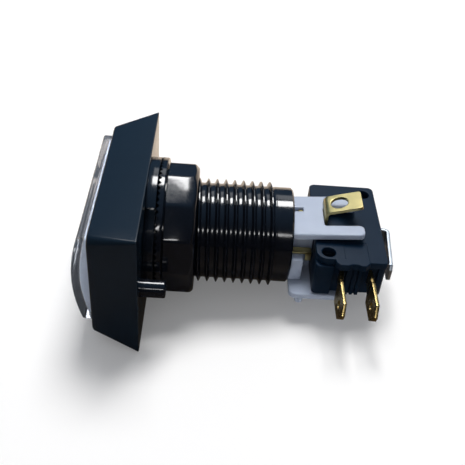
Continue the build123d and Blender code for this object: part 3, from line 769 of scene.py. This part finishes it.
cap_shell = crowned_shell(CAP, corner=1.2, low=CAP_LOW, apex=CAP_APEX, crown=CROWN,
                          wall=1.3, top=1.65, edge=0.35)
insert_shell = crowned_shell(INSERT, corner=0.6, low=CAP_LOW + 1.8, apex=CAP_APEX - INSERT_GAP,
                             crown=CROWN - INSERT_GAP, wall=1.2, top=1.2, edge=0.25)
piece("crowned_cap", cap_shell, "cap", clear_cap, ["lens_cap"])
piece("white_insert", insert_shell, "cap", diffuser_white, ["diffuser"])


# Microswitch

def switch_holes():
    """The two round holes on the switch's diagonal."""
    reach_y, reach_z = HOLE_REACH
    return [circle(HOLE_RADIUS, 40, (SWITCH_Y - reach_y, SWITCH_Z + reach_z)),
            circle(HOLE_RADIUS, 40, (SWITCH_Y + reach_y, SWITCH_Z - reach_z))]


def switch_box():
    """The box's outline, stepped in round the blades and ribbed between them, with its holes.

    Each step gives how far the near end lies inwards from there on, and its height."""
    steps = [(1.1, -42.3), (0.2, -45.4), (0.7, -46.5), (0.2, -46.9), (0.7, -47.7), (0.2, -48.1),
             (1.1, -48.9), (0.3, -52.4)]
    rows, depth = [(SWITCH_FAR, SWITCH_FRONT, 1.3), (SWITCH_NEAR, SWITCH_FRONT, 1.0)], 0.0
    for inward, z in steps:
        rows += [(SWITCH_NEAR + depth, z, 0.12), (SWITCH_NEAR + inward, z, 0.12)]
        depth = inward
    rows += [(SWITCH_NEAR + depth, SWITCH_REAR, 1.3), (SWITCH_FAR, SWITCH_REAR, 1.3)]
    return upright(plate(shaped(rows, 7), -SWITCH_TOP, COVER_LOW - COVER_SEAM, 0.3,
                         switch_holes(), COVER_SEAM))


def switch_lid():
    """The cover's outline: an ear with a wide corner round the near hole, and two bulges over the
    blades."""
    rows = [(SWITCH_FAR, SWITCH_FRONT, 1.3), (-13.6, SWITCH_FRONT, 2.6), (-13.6, -42.4, 0.1),
            (-14.5, -42.6, 0.5), (-15.3, -43.4, 0.7), (-15.35, -45.2, 0.5), (-14.9, -46.1, 0.4),
            (-14.9, -47.3, 0.4), (-15.3, -48.1, 0.4), (-15.3, -49.1, 0.5), (-14.2, -50.2, 0.6),
            (-14.2, SWITCH_REAR, 0.8), (SWITCH_FAR, SWITCH_REAR, 1.3)]
    return upright(plate(shaped(rows, 7), COVER_LOW + COVER_SEAM, SWITCH_TOP, 0.22,
                         switch_holes(), COVER_SEAM))


def lid_ribs():
    """Low rounded ribs that edge the ear's pad and the panel beside it."""
    half, low, high = 0.12, SWITCH_TOP - 0.1, SWITCH_TOP + 0.07
    spans = [((-13.2, -7.5), (-44.7 - half, -44.7 + half)),
             ((-13.9, -7.7), (-50.0 - half, -50.0 + half)),
             ((-7.6 - half, -7.6 + half), (-50.1, -39.4))]
    return joined(*[upright(slab(y, z, (low, high), 0.06)) for y, z in spans])


piece("switch_box", switch_box(), "body", switch_black, ["switch_case"])
piece("switch_lid", switch_lid(), "body", switch_black, ["switch_cover"])
piece("switch_lid_ribs", lid_ribs(), "body", switch_black)


def blade_plate(loop, tip, way):
    """A blade's flat plate in its thickness, with the hole at its distance from the tip.

    way is the direction from the tip to the hole."""
    from_tip, radius = BLADE_HOLE
    centre = np.array(tip, float) + from_tip * np.array(way, float)
    half = BLADE_THICKNESS / 2
    return punched(refined(loop, 0.5), centre, radius, -half, half, 0.15, 24)


def side_blade(inner_y, lift, jog):
    """Push-on blade: a necked outline round its hole, lifted at the switch by a smooth step.

    Its height falls from the lift to zero as (1 + cos) / 2 over the jog's two Y values. Further out
    the blade is twisted: its height grows by the twist times the distance from its upper edge."""
    half, low_y = BLADE_HALF, SWITCH_NEAR - BLADE_REACH
    neck, neck_y = BLADE_HALF - 0.3, low_y + BLADE_REACH - 2.8
    cut, step = 1.9, 0.5
    loop = outline([(neck, inner_y), (-neck, inner_y), (-neck, neck_y), (-half, neck_y - step),
                    (-half, low_y + cut), (cut - half, low_y), (half - cut, low_y),
                    (half, low_y + cut), (half, neck_y - step), (neck, neck_y)], 0.2, 4)
    points, faces = blade_plate(loop, (0, low_y), (0, 1))
    share = np.clip((points[:, 1] - jog[0]) / (jog[1] - jog[0]), 0, 1)
    points[:, 2] += lift * (1 - np.cos(pi * share)) / 2
    twist, twist_y, twist_length = 0.17, -15.5, 3.5
    out = np.clip((twist_y - points[:, 1]) / twist_length, 0, 1)
    points[:, 2] += twist * (half - points[:, 0]) * out
    return points, faces


def closed_blade():
    """The first blade, which drops a little on its way into the box."""
    return set_in(side_blade(-6.4, -0.45, (-16.6, -15.0)), origin=(0, 0, CLOSED_Z + 0.1))


def open_blade():
    """The second blade with the riser and the shelf that carry its contact."""
    wide = (-BLADE_HALF, BLADE_HALF)
    outer = set_in(side_blade(-10.0, 0.0, (-16.9, -15.2)), origin=(0, 0, OPEN_Z))
    riser = slab(wide, (-10.8, -10.0), (OPEN_Z - BLADE_THICKNESS / 2, OPEN_SHELF_Z), 0.05)
    shelf = slab(wide, (-10.02, -6.4), (OPEN_SHELF_Z - BLADE_THICKNESS, OPEN_SHELF_Z - 0.02), 0.05)
    return joined(outer, riser, shelf)


def common_blade():
    """A blade bent through a right angle behind the box, and the shelf and post inside it."""
    bend, half, cut, tilt = 0.8, BLADE_HALF, 1.0, radians(COMMON_TILT)
    angle = pi / 2 - tilt
    taken = bend * np.tan(angle / 2)
    tip = COMMON_LENGTH - taken
    root = -(bend * angle + COMMON_TOP - COMMON_Z - taken)
    rows = [(tip - cut, half, 0.3), (root, half, 0.1), (root, -half, 0.1), (tip - cut, -half, 0.3),
            (tip, -half + cut, 0.3), (tip, half - cut, 0.3)]
    flat = blade_plate(shaped(rows, 4), (tip, 0), (-1, 0))
    along = (0, -cos(tilt), sin(tilt))
    start = (0, COMMON_Y + taken * along[1], COMMON_Z + taken * along[2])
    tail = set_in(bent(flat, bend, angle), start, along, (-1, 0, 0))
    wide, post_y = (-2, 2), (10.6, 11.4)
    shelf_low = COMMON_TOP - BLADE_THICKNESS
    shelf = slab(wide, (COMMON_Y - BLADE_THICKNESS / 2, post_y[1]), (shelf_low, COMMON_TOP), 0.05)
    post = slab(wide, post_y, (shelf_low, CLOSED_Z - 1.75), 0.05)
    return joined(tail, shelf, post)


# The closed and open blades take the brass darkened as painted shade
piece("closed_blade", closed_blade(), "body", painted_shade_brass, ["closed_terminal"])
piece("open_blade", open_blade(), "body", painted_shade_brass, ["open_terminal"])
piece("common_blade", common_blade(), "body", tinned, ["common_terminal"])


# Lamp holder

def holder_fork():
    """The tilted plate behind the barrel with its slot and its two fingers."""
    tilt = radians(SLEEVE_TILT)
    near, far = SLEEVE_SIDES
    near_inner, far_inner = near + FINGERS[0], far - FINGERS[1]
    root, top = SLEEVE_REAR - BARREL_END, -0.1
    near_end, far_end = [z - BARREL_END for z in FINGER_ENDS]
    rows = [(far, top, 0.2), (near, top, 0.2), (near, near_end, 1.2), (near_inner, near_end, 1.2),
            (near_inner, root, 0.5), (far_inner, root, 0.5), (far_inner, far_end, 1.2),
            (far, far_end, 1.2)]
    slot = outline([(2.1, -0.7), (0.8, -0.7), (0.8, -2.8), (2.1, -2.8)], 0.15, 4)
    flat = plate(shaped(rows, 7), 0, PLATE[1] - PLATE[0], 0.3, [slot])
    return set_in(flat, (PLATE[0], 0, BARREL_END), (0, 1, 0), (-sin(tilt), 0, cos(tilt)))


def holder_tray():
    """The plate under the switch, notched for the lower lamp tab."""
    half, gap, rear = TRAY_HALF, TAB_HALF + 0.4, TRAY_REAR
    near, far = -TAB_Y - gap, -TAB_Y + gap
    rows = [(half, BARREL_END, 1.6), (-half, BARREL_END, 1.6), (-half, rear, 1.6),
            (near, rear, 0.4), (near, SLEEVE_REAR, 0.4), (far, SLEEVE_REAR, 0.4),
            (far, rear, 0.4), (half, rear, 1.6)]
    return upright(plate(shaped(rows, 8), -PLATE[1], -PLATE[0], 0.3))


def holder_nub():
    """The small round nub under the tray's near corner."""
    pole, radius, length = 0.001, 0.95, 1.7
    profile = [(pole, 0), (radius, 0), (radius, 1.45), (0.87, 1.62), (0.7, length), (pole, length)]
    place = (-PLATE[1], -TRAY_HALF + 1.3, BARREL_END - 2.55)
    return set_in(turned(profile, 32), place, (0, 0, 1), (0, 1, 0))


def holder_plug():
    """The round plug in the barrel, notched where the leg of the cap's carrier passes."""
    radius, front = PLUG
    gap, floor = PLUG_NOTCH
    opening = np.arctan2((radius ** 2 - gap ** 2) ** 0.5, gap)
    around = np.linspace(pi - opening, 2 * pi + opening, 90)
    rim = radius * np.stack([np.cos(around), np.sin(around)], 1)
    rim = np.concatenate([rim, [(gap, floor), (-gap, floor)]])
    return plate(rim, BARREL_END, front, 0.2)


def holder():
    """Plate with fingers, core, tray, lug, nub, plug and socket, as one moulding."""
    core = slab((-PLATE[0], PLATE[0] + 0.15), (-5, 5), (SWITCH_FRONT, BARREL_END), 0.25)
    lug = slab((-PLATE[0], 0.9), (-10.0, -7.2), (BARREL_END - 2.8, BARREL_END + 0.02), 0.25)
    radius, front = SOCKET
    recess = rectangle(*LAMP_RECESS, 0.2)
    socket = plate(circle(radius, 64), PLUG[1] - 0.2, front, 0.2, [recess])
    return joined(holder_fork(), core, holder_tray(), lug, holder_nub(), holder_plug(), socket)


def lamp_terminal(side):
    """A strip that leaves the socket and runs under the fork, and its folded tab with a hole.

    The tab is a flat plate round its hole whose root is rolled through the angle between the tab
    and the fold. On the lower side the whole is turned half round the axis."""
    tilt, bend, half = radians(TAB_TILT), 0.9, TAB_HALF
    angle = pi / 2 - tilt
    taken = bend * np.tan(angle / 2)
    corner = np.array(TAB_CORNER)
    along = np.array([sin(tilt), -cos(tilt)])
    start = corner + along * taken
    tip = TAB_LENGTH - taken
    root = -(bend * angle + corner[0] - TAB_ROOT_X - taken)
    rows = [(tip, half, 0.6), (root, half, 0.05), (root, -half, 0.05), (tip, -half, 0.6)]
    hole_x, hole_radius = TAB_HOLE
    flat = punched(refined(shaped(rows, 6), 0.4), np.array([hole_x - taken, 0]), hole_radius,
                   -0.4, 0.4, 0.12, 20)
    tab = set_in(bent(flat, bend, angle), (start[0], TAB_Y, start[1]), (along[0], 0, along[1]))
    neck = slab((5.7, 7.3), (TAB_Y - half, TAB_Y + 1.2), (-41.4, SLEEVE_REAR), 0.1)
    path = strip([(1.95, SOCKET[1]), (1.95, -34.85), (5.95, -34.85), (5.95, -41.2)], 0.5, 0.5)
    band = set_in(plate(path, -2.2, 2.2, 0.1), (0, TAB_Y, 0), (1, 0, 0), (0, 0, 1))
    points, faces = joined(tab, neck, band)
    return points * np.array([side, side, 1]), faces


def lamp_link():
    """A short strip on the lug and its end that is turned down."""
    flat = slab((0.9, 1.4), (-7.7, -5.8), (-38.0, BARREL_END), 0.08)
    turned_end = slab((-1.0, 1.4), (-7.7, -7.2), (-38.0, -36.6), 0.08)
    return joined(flat, turned_end)


piece("holder_moulding", holder(), "body", nylon_white, ["lamp_holder"])
for name, side, node in (("lamp_tab_upper", 1, "lamp_terminal_upper"),
                         ("lamp_tab_lower", -1, "lamp_terminal_lower")):
    piece(name, lamp_terminal(side), "body", brass, [node])
piece("link_strip", lamp_link(), "body", brass, ["lamp_link"])


# Return spring

def return_spring():
    """A round wire along a helix: six turns, its centre at a fixed radius and its height in even
    steps."""
    turns, radius, wire_radius, low, high = 6.0, 9.05, 0.4, -12.6, 4.6
    share = np.linspace(0, 1, 289)
    angle = 2 * pi * turns * share
    out = np.stack([np.cos(angle), np.sin(angle), np.zeros_like(angle)], 1)
    middle = radius * out
    middle[:, 2] = low + (high - low) * share
    climb = np.full_like(angle, (high - low) / (2 * pi * turns))
    ahead = np.stack([-radius * np.sin(angle), radius * np.cos(angle), climb], 1)
    up = np.cross(out, ahead / np.linalg.norm(ahead, axis=1, keepdims=True))
    turn = (np.arange(16) * pi / 8)[None, :, None]
    loops = wire_radius * (np.cos(turn) * out[:, None] + np.sin(turn) * up[:, None])
    return stack(middle[:, None] + loops, "caps")


spring = piece("spring_wire", return_spring(), "body", wire, ["return_spring"])
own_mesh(spring)


# Camera, stage and lights

def camera():
    """The camera that was fitted to the photograph's corners and outlines."""
    data = bpy.data.cameras.new("camera")
    data.lens, data.sensor_width = 55.71, 36.0
    data.clip_start, data.clip_end = 0.005, 20.0
    made = bpy.data.objects.new("camera", data)
    right = Vector((0.0688044, 0.01320663, -0.99754275))
    up = Vector((0.76173928, 0.64499812, 0.06107936))
    back = Vector((0.64421985, -0.76407003, 0.0343187))
    matrix = Matrix((right, up, back)).transposed().to_4x4()
    matrix.translation = (0.11023, -0.13118, -0.01388)
    made.matrix_world = matrix
    scene.collection.objects.link(made)
    scene.camera = made


def stage_sheet():
    """The mesh of a large flat square that touches the bezel's lower side."""
    up, point = Vector(STAGE_UP), Vector(STAGE_POINT) * MM
    side = up.cross(Vector((0, 1, 0))).normalized() * STAGE_SIZE
    other = up.cross(side.normalized()) * STAGE_SIZE
    corners = [point + side * a + other * b for a, b in ((-1, -1), (1, -1), (1, 1), (-1, 1))]
    mesh = bpy.data.meshes.new("stage_sheet")
    mesh.from_pydata(corners, [], [(0, 1, 2, 3)])
    if mesh.polygons[0].normal.dot(up) < 0:
        mesh.flip_normals()
    return mesh


def white_stage():
    """The sheet that the button lies on: white to the camera, a tan table in reflections with
    painted shade darkening its near side, and clear from below."""
    mesh = stage_sheet()
    made = bpy.data.objects.new("stage_sheet", mesh)
    scene.collection.objects.link(made)
    material = bpy.data.materials.new("white_sheet")
    material.use_nodes = True
    nodes, links = material.node_tree.nodes, material.node_tree.links
    nodes.clear()
    place = nodes.new("ShaderNodeTexCoord").outputs["Object"]
    # Painted shade: the table seen in reflections darkens from its tan towards the near side
    along = ranged(nodes, links, axis_value(nodes, links, place, "Y"), *TABLE_SHADE_SPAN)
    table = mixed(nodes, links, "ShaderNodeMix", along, TABLE_NEAR_PAINTED_SHADE, TABLE_FAR)
    in_gloss = ray_share(nodes, links, "Is Glossy Ray")
    paper = nodes.new("ShaderNodeBsdfDiffuse")
    links.new(mixed(nodes, links, "ShaderNodeMix", in_gloss, SHEET_COLOUR, table),
              paper.inputs["Color"])
    glow = nodes.new("ShaderNodeEmission")
    glow.inputs["Strength"].default_value = STAGE_STRENGTH
    lift = nodes.new("ShaderNodeMath")
    lift.operation = "MULTIPLY"
    lift.inputs[1].default_value = STAGE_GLOW
    links.new(ray_share(nodes, links, "Is Camera Ray", "Is Transmission Ray"), lift.inputs[0])
    lit = mixed(nodes, links, "ShaderNodeMixShader", lift.outputs[0],
                paper.outputs[0], glow.outputs[0])
    clear = nodes.new("ShaderNodeBsdfTransparent")
    below = nodes.new("ShaderNodeNewGeometry").outputs["Backfacing"]
    out = nodes.new("ShaderNodeOutputMaterial")
    links.new(mixed(nodes, links, "ShaderNodeMixShader", below, lit, clear.outputs[0]),
              out.inputs["Surface"])
    mesh.materials.append(material)


def world_light():
    """White where the camera looks, a darker blue room in reflections, plain grey as a light."""
    world = bpy.data.worlds.new("white_room")
    scene.world = world
    world.use_nodes = True
    nodes, links = world.node_tree.nodes, world.node_tree.links
    nodes.clear()
    facing = nodes.new("ShaderNodeVectorMath")
    facing.operation = "DOT_PRODUCT"
    facing.inputs[1].default_value = ROOM_BRIGHT_SIDE
    links.new(nodes.new("ShaderNodeTexCoord").outputs["Generated"], facing.inputs[0])
    share = ranged(nodes, links, facing.outputs["Value"], *ROOM_FADE)
    seen = mixed(nodes, links, "ShaderNodeMix", share, ROOM_DARK, ROOM_SEEN)
    in_gloss = ray_share(nodes, links, "Is Glossy Ray")
    reflected = mixed(nodes, links, "ShaderNodeMix", in_gloss, ROOM_LIGHT, seen)
    in_view = ray_share(nodes, links, "Is Camera Ray", "Is Transmission Ray")
    background = nodes.new("ShaderNodeBackground")
    links.new(mixed(nodes, links, "ShaderNodeMix", in_view, reflected, (1.0, 1.0, 1.0)),
              background.inputs["Color"])
    out = nodes.new("ShaderNodeOutputWorld")
    links.new(background.outputs[0], out.inputs["Surface"])


def softbox(name, direction, size, watts, lights, shines):
    """An area light that faces the middle of the button from a direction.

    lights says whether it lights matt surfaces and shines whether it shows in glossy ones."""
    data = bpy.data.lights.new(name, "AREA")
    data.shape, data.size, data.size_y = "RECTANGLE", size[0], size[1]
    data.energy = watts
    made = bpy.data.objects.new(name, data)
    direction = Vector(direction).normalized()
    place = Vector(SOFTBOX_TARGET) * MM + direction * SOFTBOX_DISTANCE
    turn = direction.to_track_quat("Z", "Y").to_matrix().to_4x4()
    made.matrix_world = Matrix.Translation(place) @ turn
    made.visible_diffuse, made.visible_glossy = lights, shines
    scene.collection.objects.link(made)


camera()
white_stage()
world_light()
for row in SOFTBOXES:
    softbox(*row)
scene.view_settings.view_transform = "Standard"
